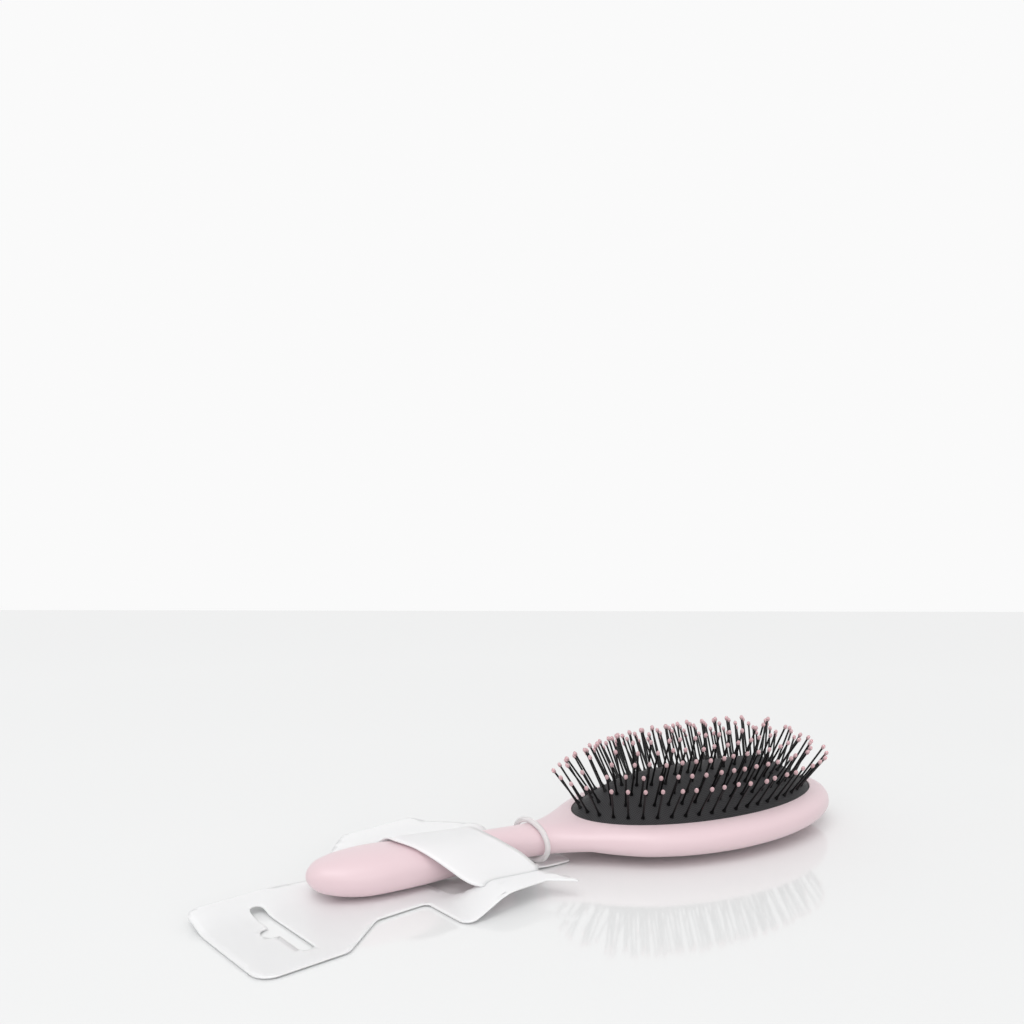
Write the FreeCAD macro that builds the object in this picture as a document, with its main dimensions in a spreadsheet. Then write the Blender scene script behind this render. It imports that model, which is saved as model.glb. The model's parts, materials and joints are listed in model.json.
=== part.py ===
import FreeCAD, Part
import math
import os

Vector = FreeCAD.Vector
doc = FreeCAD.newDocument("hair_brush")

# Driving sizes in millimetres, and the two turns in degrees. X runs from the handle to the head, Z
# is up, and the origin is on the flat of the head's back, under the middle of the cushion.
sizes = {
    "pad_half_length": 47.5,
    "pad_half_width": 24.5,
    "pad_edge_height": 12.8,
    "rim_width": 7.0,
    "rim_crest_height": 13.2,
    "widest_height": 8.3,
    "cavity_inset": 4.0,
    "cavity_floor_height": 4.5,
    "seat_height": 8.4,
    "groove_height": 9.4,
    "groove_width": 1.4,
    "groove_depth": 1.0,
    "handle_length": 85.0,
    "grip_half_width": 11.2,
    "grip_half_height": 6.6,
    "grip_middle_height": 8.0,
    "pad_gap": 0.1,
    "pad_wall": 1.2,
    "dome_rise": 11.6,
    "ring_edge_margin": 2.6,
    "inner_ring_half_width": 5.0,
    "pin_length": 13.5,
    "pin_radius": 0.34,
    "pin_shank_radius": 0.45,
    "pin_hole_gap": 0.08,
    "pin_flange_radius": 0.95,
    "pin_flange_thickness": 0.7,
    "pin_flange_drop": 1.4,
    "shoulder_radius": 0.68,
    "shoulder_height": 1.3,
    "shoulder_lift": 0.12,
    "ball_radius": 0.7,
    "ball_length": 1.85,
    "ball_socket_depth": 0.9,
    "ball_socket_gap": 0.05,
    "card_thickness": 0.45,
    "card_height": 0.5,
    "header_half_width": 23.7,
    "header_depth": 26.7,
    "header_radius": 5.5,
    "header_lift": 2.4,
    "waist_half_width": 11.3,
    "waist_start": 43.5,
    "wing_start": 61.0,
    "wing_half_width": 30.7,
    "wing_rise": 5.3,
    "wing_ramp": 18.0,
    "wing_radius": 4.0,
    "far_wing_radius": 10.0,
    "far_waist_half_width": 19.5,
    "far_wing_start": 58.5,
    "far_wing_rise": 9.5,
    "far_wing_ramp": 22.0,
    "far_wing_clear": 7.5,
    "far_wing_bank": 8.5,
    "fall_start": 97.0,
    "fall_length": 13.0,
    "flap_start": 91.0,
    "flap_start_half_width": 30.6,
    "flap_tip": 100.3,
    "flap_tip_half_width": 38.8,
    "flap_tip_radius": 0.8,
    "flap_root": 94.0,
    "flap_root_half_width": 23.0,
    "near_tongue_start": 104.0,
    "near_tongue_half_width": 12.4,
    "far_wing_corner": 84.5,
    "far_wing_step": 86.5,
    "far_wing_step_half_width": 24.0,
    "far_wing_end": 90.0,
    "far_wing_end_half_width": 21.0,
    "far_tongue_root": 96.5,
    "far_tongue_root_half_width": 13.5,
    "tongue_start": 101.0,
    "tongue_half_width": 11.5,
    "tongue_end": 117.5,
    "tongue_end_half_width": 13.8,
    "window_start": 67.5,
    "window_near_start": 71.2,
    "window_end": 92.0,
    "window_half_width": 18.2,
    "window_far_half_width": 11.0,
    "window_radius": 5.0,
    "slot_half_length": 16.0,
    "slot_inner": 21.1,
    "slot_width": 4.5,
    "slot_bump_half_width": 3.4,
    "slot_bump_depth": 3.7,
    "card_start_x": -169.5,
    "card_start_y": -18.3,
    "strap_near_foot_y": -24.5,
    "strap_near_foot_height": 4.8,
    "strap_far_foot_y": 18.5,
    "strap_far_foot_height": 9.0,
    "strap_butt_x": -128.0,
    "strap_butt_crest_y": 1.0,
    "strap_butt_crest_height": 15.9,
    "strap_head_x": -66.0,
    "strap_head_crest_y": 2.0,
    "strap_head_crest_height": 13.0,
    "band_radius": 0.9,
    "band_half_span": 9.65,
    "band_half_height": 6.0,
    "band_x": -64.3,
    "band_y": 0.0,
    "band_middle_height": 8.0,
    "overrun": 5.0,
    "card_turn": 13.0,
    "band_turn": 95.0,
}

sheet = doc.addObject("Spreadsheet::Sheet", "Sizes")
for row, (name, value) in enumerate(sizes.items(), start=1):
    sheet.set(f"A{row}", name)
    sheet.set(f"B{row}", str(value))
    sheet.setAlias(f"B{row}", name)
doc.recompute()


def size(name):
    return float(sheet.get(name))


def bound(text):
    """An expression with each size's name sent to the sheet."""
    words = text.split()
    return " ".join(f"Sizes.{word}" if word in sizes else word for word in words)


def oval(name, half_length, half_width, height):
    ring = doc.addObject("Part::Ellipse", name)
    ring.setExpression("MajorRadius", bound(half_length))
    ring.setExpression("MinorRadius", bound(half_width))
    ring.setExpression("Placement.Base.z", bound(height))
    return ring


def loft(name, sections):
    skin = doc.addObject("Part::Loft", name)
    skin.Sections = sections
    skin.Solid = True
    return skin


def pillar(name, half_length, half_width, bottom, height):
    """An oval block, standing straight up."""
    block = doc.addObject("Part::Extrusion", name)
    block.Base = oval(f"{name}_outline", half_length, half_width, bottom)
    block.DirMode = "Custom"
    block.Dir = Vector(0, 0, 1)
    block.Solid = True
    block.setExpression("LengthFwd", bound(height))
    return block


def fuse(name, parts):
    joined = doc.addObject("Part::MultiFuse", name)
    joined.Shapes = parts
    return joined


def cut(name, base, tool):
    rest = doc.addObject("Part::Cut", name)
    rest.Base = base
    rest.Tool = tool
    return rest


def common(name, parts):
    shared = doc.addObject("Part::MultiCommon", name)
    shared.Shapes = parts
    return shared


def feature(name, shape):
    made = doc.addObject("Part::Feature", name)
    made.Shape = shape
    return made


# Brush body: the head is a stack of ovals, one above the other, from the flat of its back to its
# widest line, and over the rounded rim to the cushion's edge.
underside_power = 2.35
rim_power = 2.2
back_spread_shares = (0.3, 0.42, 0.54, 0.65, 0.75, 0.83, 0.89, 0.935, 0.965, 0.985, 0.996)
rim_offset_shares = (1.0, 0.99, 0.95, 0.88, 0.78, 0.64, 0.46, 0.24, -0.1)


def back_climb(spread):
    return 1 - (1 - spread ** underside_power) ** (1 / underside_power)


head_ovals = []
flat_climb = back_climb(back_spread_shares[0])
for index, spread in enumerate(back_spread_shares):
    climb = (back_climb(spread) - flat_climb) / (1 - flat_climb)
    head_ovals.append(oval(f"back_oval_{index}", f"( pad_half_length + rim_width ) * {spread}",
                           f"( pad_half_width + rim_width ) * {spread}", f"widest_height * {climb}"))
for index, offset in enumerate(rim_offset_shares):
    climb = (1 - max(offset, 0) ** rim_power) ** (1 / rim_power)
    head_ovals.append(oval(f"rim_oval_{index}", f"pad_half_length + rim_width * {offset}",
                           f"pad_half_width + rim_width * {offset}",
                           f"widest_height + ( rim_crest_height - widest_height ) * {climb}"))
head = loft("head", head_ovals)

# The handle's sections, from the butt to the neck: place along the handle, half width, half height
# and height of the middle, as shares of the grip's sizes.
handle_shares = (
    (0.998, 0.14, 0.18, 1.05), (0.989, 0.30, 0.35, 1.05), (0.971, 0.50, 0.56, 1.044),
    (0.945, 0.645, 0.73, 1.037), (0.906, 0.80, 0.865, 1.019), (0.853, 0.93, 0.955, 1.0),
    (0.782, 1.0, 1.0, 0.981), (0.688, 0.995, 1.0, 0.975), (0.594, 0.91, 0.985, 0.975),
    (0.488, 0.77, 0.94, 0.969), (0.382, 0.635, 0.865, 0.975), (0.277, 0.555, 0.803, 0.988),
    (0.182, 0.535, 0.758, 1.0), (0.106, 0.625, 0.727, 1.006), (0.047, 0.795, 0.72, 1.006),
)
# The flare's sections, from the neck into the head, as shares of the head's half length, of its
# half width, of the grip's half height and of its middle height.
flare_shares = (
    (0.982, 0.375, 0.727, 1.0), (0.89, 0.4825, 0.773, 1.0), (0.798, 0.594, 0.848, 1.0),
    (0.697, 0.705, 0.97, 1.0), (0.587, 0.806, 1.083, 1.0), (0.44, 0.892, 1.171, 1.0),
)


def cross_oval(x, half_width, half_height, middle_height):
    """A closed oval across the handle, in four quarters."""
    across = Vector(0, half_width, 0)
    upward = Vector(0, 0, half_height)
    middle = Vector(x, 0, middle_height)
    unit = Part.Circle(Vector(0, 0, 0), Vector(0, 0, 1), 1)
    stretch = FreeCAD.Matrix(
        0, 0, 1, middle.x,
        across.y, 0, 0, middle.y,
        0, upward.z, 0, middle.z,
        0, 0, 0, 1)
    quarters = [unit.toShape(turn * math.pi / 2, (turn + 1) * math.pi / 2) for turn in range(4)]
    return Part.Wire([quarter.transformGeometry(stretch) for quarter in quarters])


head_half_length = size("pad_half_length") + size("rim_width")
head_half_width = size("pad_half_width") + size("rim_width")
handle_sections = []
for along, width, height, middle in handle_shares:
    handle_sections.append(cross_oval(
        -head_half_length - size("handle_length") * along, size("grip_half_width") * width,
        size("grip_half_height") * height, size("grip_middle_height") * middle))
for along, width, height, middle in flare_shares:
    handle_sections.append(cross_oval(
        -head_half_length * along, head_half_width * width,
        size("grip_half_height") * height, size("grip_middle_height") * middle))
handle = feature("handle", Part.makeLoft(handle_sections, True, False))

# The opening under the cushion: a seat for its skirt, a groove for its bead, and a cavity.
seat = pillar("seat", "pad_half_length", "pad_half_width", "seat_height",
              "rim_crest_height - seat_height + overrun")
groove = pillar("groove", "pad_half_length + groove_depth", "pad_half_width + groove_depth",
                "groove_height", "groove_width")
cavity = pillar("cavity", "pad_half_length - cavity_inset", "pad_half_width - cavity_inset",
                "cavity_floor_height", "rim_crest_height - cavity_floor_height")
moulding = fuse("moulding", [head, handle])
opening = fuse("opening", [seat, groove, cavity])
brush_body = cut("brush_body", moulding, opening)

# Cushion: a thin domed shell with a skirt that stands on the seat and a bead in the groove. Each
# level line of the dome is the cushion's edge, drawn in by the same distance all round.
dome_power = 1.6
dome_offset_shares = (0.0, 0.07, 0.16, 0.27, 0.4, 0.54, 0.69, 0.83, 0.94)


def dome(name, half_length, half_width, rise):
    levels = []
    for index, offset in enumerate(dome_offset_shares):
        climb = 1 - (1 - offset) ** dome_power
        levels.append(oval(f"{name}_level_{index}", f"{half_length} - ( {half_width} ) * {offset}",
                           f"( {half_width} ) * {1 - offset}",
                           f"pad_edge_height + ( {rise} ) * {climb}"))
    return loft(name, levels)


outer_length = "pad_half_length - pad_gap"
outer_width = "pad_half_width - pad_gap"
inner_length = "pad_half_length - pad_gap - pad_wall"
inner_width = "pad_half_width - pad_gap - pad_wall"
dome_outside = dome("dome_outside", outer_length, outer_width, "dome_rise")
dome_inside = dome("dome_inside", inner_length, inner_width, "dome_rise - pad_wall")
skirt_outside = pillar("skirt_outside", outer_length, outer_width, "seat_height",
                       "pad_edge_height - seat_height")
skirt_inside = pillar("skirt_inside", inner_length, inner_width, "seat_height - overrun",
                      "pad_edge_height - seat_height + overrun")
bead = pillar("bead", f"{outer_length} + groove_depth", f"{outer_width} + groove_depth",
              "groove_height + pad_gap", "groove_width - 2 * pad_gap")
pad_outside = fuse("pad_outside", [dome_outside, skirt_outside, bead])
pad_inside = fuse("pad_inside", [dome_inside, skirt_inside])
pad_shell = cut("pad_shell", pad_outside, pad_inside)

# Bristles: five rings of pins, each ring an oval like the cushion's edge, from the outer ring in.
pins_in_ring = (45, 40, 34, 28, 23)
pin_lean_share = 1.02
ring_count = len(pins_in_ring)
dome_half_length = size("pad_half_length") - size("pad_gap")
dome_half_width = size("pad_half_width") - size("pad_gap")
rings_reach = dome_half_width - size("ring_edge_margin") - size("inner_ring_half_width")
ring_pitch = rings_reach / (ring_count - 1)
odd_ring_start_share = 0.5
curve_steps = 720


def even_places(half_length, half_width, count, start_share):
    """Points at even steps along an oval, as angles of its parametric form."""
    lengths = [0.0]
    for step in range(curve_steps):
        angle = 2 * math.pi * (step + 0.5) / curve_steps
        speed = math.hypot(half_length * math.sin(angle), half_width * math.cos(angle))
        lengths.append(lengths[-1] + speed)
    places = []
    step = 0
    for number in range(count):
        wanted = lengths[-1] * (number + start_share) / count
        while lengths[step + 1] < wanted:
            step += 1
        part = (wanted - lengths[step]) / (lengths[step + 1] - lengths[step])
        places.append(2 * math.pi * (step + part) / curve_steps)
    return places


def ring_seats(ring):
    """The Placement of each pin of a ring: on the dome, leaning out a little more than square."""
    offset = size("ring_edge_margin") + ring * ring_pitch
    half_length = dome_half_length - offset
    half_width = dome_half_width - offset
    remains = 1 - offset / dome_half_width
    height = size("pad_edge_height") + size("dome_rise") * (1 - remains ** dome_power)
    slope = size("dome_rise") * dome_power / dome_half_width * remains ** (dome_power - 1)
    seats = []
    start_share = odd_ring_start_share * (ring % 2)
    for angle in even_places(half_length, half_width, pins_in_ring[ring], start_share):
        outward = Vector(math.cos(angle) / half_length, math.sin(angle) / half_width, 0)
        outward.normalize()
        axis = outward * (pin_lean_share * slope) + Vector(0, 0, 1)
        base = Vector(half_length * math.cos(angle), half_width * math.sin(angle), height)
        seats.append(FreeCAD.Placement(base, FreeCAD.Rotation(Vector(0, 0, 1), axis)))
    return seats


def turned(outline):
    """A solid turned about Z from a closed wire of radius and height."""
    return Part.Face(outline).revolve(Vector(0, 0, 0), Vector(0, 0, 1), 360)


def pin_shape():
    flange_top = -size("pin_flange_drop")
    flange_bottom = flange_top - size("pin_flange_thickness")
    shoulder_bottom = size("shoulder_lift")
    shoulder_top = shoulder_bottom + size("shoulder_height")
    corners = [
        (0, flange_bottom),
        (size("pin_flange_radius"), flange_bottom),
        (size("pin_flange_radius"), flange_top),
        (size("pin_shank_radius"), flange_top),
        (size("pin_shank_radius"), shoulder_bottom),
        (size("shoulder_radius"), shoulder_bottom),
        (size("pin_radius"), shoulder_top),
        (size("pin_radius"), size("pin_length")),
        (0, size("pin_length")),
        (0, flange_bottom),
    ]
    return turned(Part.makePolygon([Vector(radius, 0, height) for radius, height in corners]))


def ball_shape():
    """A tip with round ends and a straight middle, and a blind socket that the pin's end fills."""
    socket_radius = size("pin_radius") + size("ball_socket_gap")
    radius = size("ball_radius")
    socket_floor = size("pin_length")
    ball_bottom = socket_floor - size("ball_socket_depth")
    low_middle = Vector(0, 0, ball_bottom + radius)
    high_middle = Vector(0, 0, ball_bottom + size("ball_length") - radius)
    mouth_angle = -math.acos(socket_radius / radius)

    def round_point(middle, angle):
        return middle + Vector(radius * math.cos(angle), 0, radius * math.sin(angle))

    mouth = round_point(low_middle, mouth_angle)
    belly = Part.Arc(mouth, round_point(low_middle, mouth_angle / 2), round_point(low_middle, 0.0))
    crown = Part.Arc(round_point(high_middle, 0.0), round_point(high_middle, math.pi / 4),
                     round_point(high_middle, math.pi / 2))
    straight = Part.makeLine(round_point(low_middle, 0.0), round_point(high_middle, 0.0))
    socket = Part.makePolygon([round_point(high_middle, math.pi / 2), Vector(0, 0, socket_floor),
                               Vector(socket_radius, 0, socket_floor), mouth])
    return turned(Part.Wire([belly.toShape(), straight, crown.toShape(), *socket.Edges]))


def placed(shape, seats):
    copies = []
    for seat_place in seats:
        copy = shape.copy()
        copy.Placement = seat_place
        copies.append(copy)
    return Part.makeCompound(copies)


hole_shape = Part.makeCylinder(
    size("pin_shank_radius") + size("pin_hole_gap"), size("pin_flange_drop") + 2 * size("shoulder_height"),
    Vector(0, 0, -size("pin_flange_drop") - size("shoulder_height") / 2))
rings = [ring_seats(ring) for ring in range(ring_count)]
pin_holes = feature("pin_holes", placed(hole_shape, [seat_place for seats in rings for seat_place in seats]))
cushion_pad = cut("cushion_pad", pad_shell, pin_holes)

bristle_rings = []
tip_rings = []
for ring, seats in enumerate(rings, start=1):
    bristle_rings.append(feature(f"bristle_ring_{ring}", placed(pin_shape(), seats)))
    tip_rings.append(feature(f"bristle_tips_{ring}", placed(ball_shape(), seats)))

# Hang tag: one card, modelled along its own length and across it, then turned to its place. The
# sheet lies under the handle, its wings rise, and its strap goes over the handle.
card_place = FreeCAD.Placement(Vector(size("card_start_x"), size("card_start_y"), 0),
                               FreeCAD.Rotation(Vector(0, 0, 1), size("card_turn")))


def ease(share):
    held = min(max(share, 0.0), 1.0)
    return held * held * (3 - 2 * held)


def card_level(along, across):
    """Height of the sheet's lower face. The near wing rises a little, and the far one stands up
    beside the handle, clear of it."""
    falls = 1 - ease((along - size("fall_start")) / size("fall_length"))
    side = ease((abs(across) - size("window_half_width") / 2) / size("waist_half_width"))
    if across <= 0:
        wing = ease((along - size("wing_start")) / size("wing_ramp"))
        return size("card_height") + size("wing_rise") * wing * falls * side
    lift = size("header_lift") * (1 - ease((along - size("waist_start")) / size("window_half_width")))
    wing = ease((along - size("far_wing_start") + size("far_wing_ramp")) / size("far_wing_ramp"))
    beside = card_place.multVec(Vector(along, across, 0)).y - size("far_wing_clear")
    bank = ease(beside / size("far_wing_bank"))
    return size("card_height") + lift * side + size("far_wing_rise") * wing * falls * bank


rows_per_overrun = 1.25
half_columns = 15


def slab(bottom_offset, top_offset, floor=None):
    """A thick sheet that follows the card, between two offsets from its lower face."""
    row_step = size("overrun") / rows_per_overrun
    row_count = math.ceil((size("tongue_end") + 2 * size("overrun")) / row_step)
    rows = [row_step * row - size("overrun") for row in range(row_count + 1)]
    reach = size("flap_tip_half_width") + size("overrun")
    across_shares = [column / half_columns for column in range(-half_columns, half_columns + 1)]
    sections = []
    for along in rows:
        top = [Vector(along, reach * share, card_level(along, reach * share) + top_offset)
               for share in across_shares]
        bottom = [Vector(point.x, point.y, floor if floor is not None
                         else point.z - top_offset + bottom_offset) for point in top]
        upper = Part.BSplineCurve()
        upper.interpolate(top)
        lower = Part.BSplineCurve()
        lower.interpolate(bottom)
        sections.append(Part.Wire([lower.toShape(), Part.makeLine(bottom[-1], top[-1]),
                                   upper.toShape(), Part.makeLine(top[0], bottom[0])]))
    return Part.makeLoft(sections, True, True)


def rounded(corners):
    """A closed outline of (along, across, radius) corners, with an arc at each rounded one."""
    edges = []
    ends = []
    count = len(corners)
    for index in range(count):
        here = Vector(corners[index][0], corners[index][1], 0)
        before = Vector(corners[index - 1][0], corners[index - 1][1], 0) - here
        after = Vector(corners[(index + 1) % count][0], corners[(index + 1) % count][1], 0) - here
        radius = corners[index][2]
        half_angle = before.getAngle(after) / 2
        before.normalize()
        after.normalize()
        back = radius / math.tan(half_angle)
        first = here + before * back
        last = here + after * back
        middle = here + (before + after).normalize() * (radius / math.sin(half_angle) - radius)
        if radius > 0:
            edges.append(Part.Arc(first, middle, last).toShape())
        ends.append((first, last))
    for index in range(count):
        edges.append(Part.makeLine(ends[index - 1][1], ends[index][0]))
    return Part.Wire(Part.__sortEdges__(edges))


def prism(outline):
    """A tall block over a flat outline."""
    tall = size("strap_butt_crest_height") + 2 * size("overrun")
    block = Part.Face(outline).extrude(Vector(0, 0, tall))
    block.translate(Vector(0, 0, -size("overrun")))
    return block


soft_corner = size("wing_radius")
tight_corner = soft_corner / 2
card_outline = rounded([
    (0.0, -size("header_half_width"), size("header_radius")),
    (size("header_depth"), -size("header_half_width"), size("header_radius")),
    (size("waist_start"), -size("waist_half_width"), size("header_radius")),
    (size("wing_start"), -size("waist_half_width"), tight_corner),
    (size("wing_start"), -size("wing_half_width"), soft_corner),
    (size("flap_start"), -size("flap_start_half_width"), tight_corner),
    (size("flap_tip"), -size("flap_tip_half_width"), size("flap_tip_radius")),
    (size("flap_root"), -size("flap_root_half_width"), size("flap_tip_radius")),
    (size("near_tongue_start"), -size("near_tongue_half_width"), soft_corner),
    (size("tongue_end"), -size("tongue_end_half_width"), tight_corner),
    (size("tongue_end"), size("tongue_end_half_width"), tight_corner),
    (size("tongue_start"), size("tongue_half_width"), soft_corner),
    (size("far_tongue_root"), size("far_tongue_root_half_width"), soft_corner),
    (size("far_wing_end"), size("far_wing_end_half_width"), soft_corner),
    (size("far_wing_step"), size("far_wing_step_half_width"), tight_corner),
    (size("far_wing_corner"), size("wing_half_width"), tight_corner),
    (size("far_wing_start"), size("wing_half_width"), size("far_wing_radius")),
    (size("waist_start"), size("far_waist_half_width"), size("header_radius")),
    (size("header_depth"), size("header_half_width"), size("header_radius")),
    (0.0, size("header_half_width"), size("header_radius")),
])
window_outline = rounded([
    (size("window_near_start"), -size("window_half_width"), size("window_radius")),
    (size("window_end"), -size("window_half_width"), size("window_radius")),
    (size("window_end"), size("window_far_half_width"), size("window_radius")),
    (size("window_start"), size("window_far_half_width"), size("window_radius")),
])
slot_end_radius_share = 0.47
slot_bump_radius_share = 0.9
slot_outer = size("slot_inner") - size("slot_width")
slot_bump_end = slot_outer - size("slot_bump_depth")
slot_end_radius = size("slot_width") * slot_end_radius_share
slot_bump_radius = size("slot_bump_half_width") * slot_bump_radius_share
slot_outline = rounded([
    (size("slot_inner"), -size("slot_half_length"), slot_end_radius),
    (size("slot_inner"), size("slot_half_length"), slot_end_radius),
    (slot_outer, size("slot_half_length"), slot_end_radius),
    (slot_outer, size("slot_bump_half_width"), 0.0),
    (slot_bump_end, size("slot_bump_half_width"), slot_bump_radius),
    (slot_bump_end, -size("slot_bump_half_width"), slot_bump_radius),
    (slot_outer, -size("slot_bump_half_width"), 0.0),
    (slot_outer, -size("slot_half_length"), slot_end_radius),
])

# The strap's edges, as shares of the window's length from its start, at shares of its half width.
strap_butt_edge_shares = ((0.42, -1.5), (0.3, -1.2), (0.17, -1.03), (0.02, -0.68), (-0.17, -0.15),
                          (-0.29, 0.35), (-0.23, 0.8), (-0.14, 1.3))
strap_head_edge_shares = ((0.96, -1.5), (1.1, -1.22), (1.06, -0.98), (0.93, -0.6), (0.86, -0.25),
                          (0.85, 0.2), (0.93, 0.75), (1.06, 1.3))


def strap_edge(shares):
    curve = Part.BSplineCurve()
    window_length = size("window_end") - size("window_start")
    curve.interpolate([Vector(size("window_start") + window_length * along,
                              size("window_half_width") * across, 0) for along, across in shares])
    return curve.toShape()


def strap_outline():
    butt_edge = strap_edge(strap_butt_edge_shares)
    head_edge = strap_edge(strap_head_edge_shares)
    near = Part.makeLine(butt_edge.Vertexes[0].Point, head_edge.Vertexes[0].Point)
    far = Part.makeLine(butt_edge.Vertexes[-1].Point, head_edge.Vertexes[-1].Point)
    return Part.Wire(Part.__sortEdges__([butt_edge, far, head_edge, near]))


section_steps = 12
crest_breadth = 1.5


def strap_section(x, crest_y, crest_height):
    """The strap's bow across the handle: level at its crest, and level again at each foot."""
    lower = []
    for step in range(-section_steps, section_steps + 1):
        turn = abs(step) / section_steps
        if step < 0:
            foot_y, foot = size("strap_near_foot_y"), size("strap_near_foot_height")
            fall = ease(turn ** crest_breadth)
        else:
            foot_y, foot = size("strap_far_foot_y"), size("strap_far_foot_height")
            fall = ease(turn)
        lower.append(Vector(x, crest_y + (foot_y - crest_y) * turn,
                            crest_height + (foot - crest_height) * fall))
    inside = Part.BSplineCurve()
    inside.interpolate(lower)
    upper = []
    for point in lower:
        tangent = inside.tangent(inside.parameter(point))[0]
        upper.append(point + Vector(1, 0, 0).cross(tangent) * size("card_thickness"))
    outside = Part.BSplineCurve()
    outside.interpolate(upper)
    return Part.Wire([inside.toShape(), Part.makeLine(lower[-1], upper[-1]), outside.toShape(),
                      Part.makeLine(upper[0], lower[0])])


def on_card(name, shape):
    made = feature(name, shape)
    made.Placement = card_place.multiply(shape.Placement)
    return made


sheet_slab = on_card("sheet_slab", slab(0.0, size("card_thickness")))
sheet_blank = on_card("sheet_blank", prism(card_outline))
sheet_openings = on_card("sheet_openings", Part.makeCompound([prism(window_outline), prism(slot_outline)]))
under_sheet = on_card("under_sheet", slab(0.0, size("card_thickness") / 2, -size("overrun")))
strap_blank = on_card("strap_blank", prism(strap_outline()))
strap_arch = feature("strap_arch", Part.makeLoft([
    strap_section(size("strap_butt_x"), size("strap_butt_crest_y"), size("strap_butt_crest_height")),
    strap_section(size("strap_head_x"), size("strap_head_crest_y"), size("strap_head_crest_height")),
], True, True))
card_base = cut("card_base", common("card_blanked", [sheet_slab, sheet_blank]), sheet_openings)
card_strap = cut("card_strap", common("strap_trimmed", [strap_arch, strap_blank]), under_sheet)
hang_tag = fuse("hang_tag", [card_base, card_strap])

# Neck band: a round elastic loop about the neck, askew, that lies on the card's tongue.
band_path = doc.addObject("Part::Ellipse", "band_path")
band_path.setExpression("MajorRadius", bound("band_half_span"))
band_path.setExpression("MinorRadius", bound("band_half_height"))
about_z = FreeCAD.Rotation(Vector(0, 0, 1), size("band_turn"))
band_path.Placement.Rotation = about_z * FreeCAD.Rotation(Vector(1, 0, 0), 90)
band_path.setExpression("Placement.Base.x", bound("band_x"))
band_path.setExpression("Placement.Base.y", bound("band_y"))
band_path.setExpression("Placement.Base.z", bound("band_middle_height"))
doc.recompute()
band_start = band_path.Shape.Edges[0]
band_profile = doc.addObject("Part::Circle", "band_profile")
band_profile.setExpression("Radius", bound("band_radius"))
band_profile.Placement = FreeCAD.Placement(
    band_start.valueAt(band_start.FirstParameter),
    FreeCAD.Rotation(Vector(0, 0, 1), band_start.tangentAt(band_start.FirstParameter)))
neck_band = doc.addObject("Part::Sweep", "neck_band")
neck_band.Sections = [band_profile]
neck_band.Spine = (band_path, ["Edge1"])
neck_band.Solid = True
neck_band.Frenet = True

nodes = [brush_body, cushion_pad, *bristle_rings, *tip_rings, hang_tag, neck_band]
for node in nodes:
    node.Label = node.Name
doc.recompute()
for item in doc.Objects:
    if "Invalid" in item.State or "Error" in item.State:
        raise RuntimeError(f"{item.Name} failed: {item.State}")
for node in nodes:
    if node.Shape.isNull() or not node.Shape.isValid():
        raise RuntimeError(f"{node.Label} has no valid shape")

os.makedirs("parts", exist_ok=True)
for node in nodes:
    node.Shape.exportStep(os.path.join("parts", f"{node.Label}.step"))
    print(node.Label, "solids", len(node.Shape.Solids), "volume", round(node.Shape.Volume, 2))
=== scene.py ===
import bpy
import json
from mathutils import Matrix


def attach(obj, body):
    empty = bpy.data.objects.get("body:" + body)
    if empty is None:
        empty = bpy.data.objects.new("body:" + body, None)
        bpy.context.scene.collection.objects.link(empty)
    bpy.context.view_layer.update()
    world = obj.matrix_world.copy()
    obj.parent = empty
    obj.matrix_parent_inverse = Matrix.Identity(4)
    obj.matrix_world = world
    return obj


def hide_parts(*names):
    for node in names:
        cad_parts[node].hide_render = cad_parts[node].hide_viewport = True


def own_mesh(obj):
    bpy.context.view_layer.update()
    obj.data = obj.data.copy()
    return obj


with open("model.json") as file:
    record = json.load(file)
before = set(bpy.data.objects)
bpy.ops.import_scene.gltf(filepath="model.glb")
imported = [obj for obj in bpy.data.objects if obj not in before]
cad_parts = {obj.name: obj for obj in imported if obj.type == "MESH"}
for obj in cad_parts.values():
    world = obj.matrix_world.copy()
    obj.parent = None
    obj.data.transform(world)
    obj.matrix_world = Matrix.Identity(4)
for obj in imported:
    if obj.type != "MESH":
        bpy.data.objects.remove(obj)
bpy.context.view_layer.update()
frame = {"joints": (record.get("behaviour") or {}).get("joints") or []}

import json
import math

import bmesh
import bpy
import numpy as np

MM = 0.001

# Brush body: one hollow moulding, handle, neck and oval head, in pale pink plastic with a
# soft-touch coat. The head's rim rolls over to the opening that holds the cushion.
PAD_HALF_LENGTH = 47.5
PAD_HALF_WIDTH = 24.5
RIM_WIDTH = 7.0
RIM_CREST = 13.2
WIDEST_HEIGHT = 8.3
UNDERSIDE_POWER = 2.35
RIM_POWER = 2.2
REST_FLAT = 0.3
BUTT_X = -139.5
NECK_X = -60.0
SEAT_HEIGHT = 8.4
HEAD_BLEND_START = -62.0
HEAD_BLEND_LENGTH = 18.0
HEAD_FORM_START = -48.0
HEAD_FORM_END_SHARE = 0.99999
RIM_ROLL_POWER = 1.5
HEAD_HALF_LENGTH = PAD_HALF_LENGTH + RIM_WIDTH
HEAD_HALF_WIDTH = PAD_HALF_WIDTH + RIM_WIDTH
HANDLE_X = np.array([BUTT_X, -138.4, -134.8, -128.4, -118.9, -106.0, -93.4, -80.7, -69.5, NECK_X])
HANDLE_HALF_WIDTH = np.array([0.0, 3.4, 6.6, 9.4, 10.6, 9.7, 7.3, 5.8, 5.9, 8.1])
FLARE_X = np.array([-54.0, -47.0, -40.0, -32.0, -22.0])
FLARE_HALF_WIDTH = np.array([11.4, 16.1, 20.8])
LEVEL_X = np.array([BUTT_X, -134.8, -119.7, -95.8, -75.9, NECK_X])
BUTT_HEIGHT = 8.45
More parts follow.
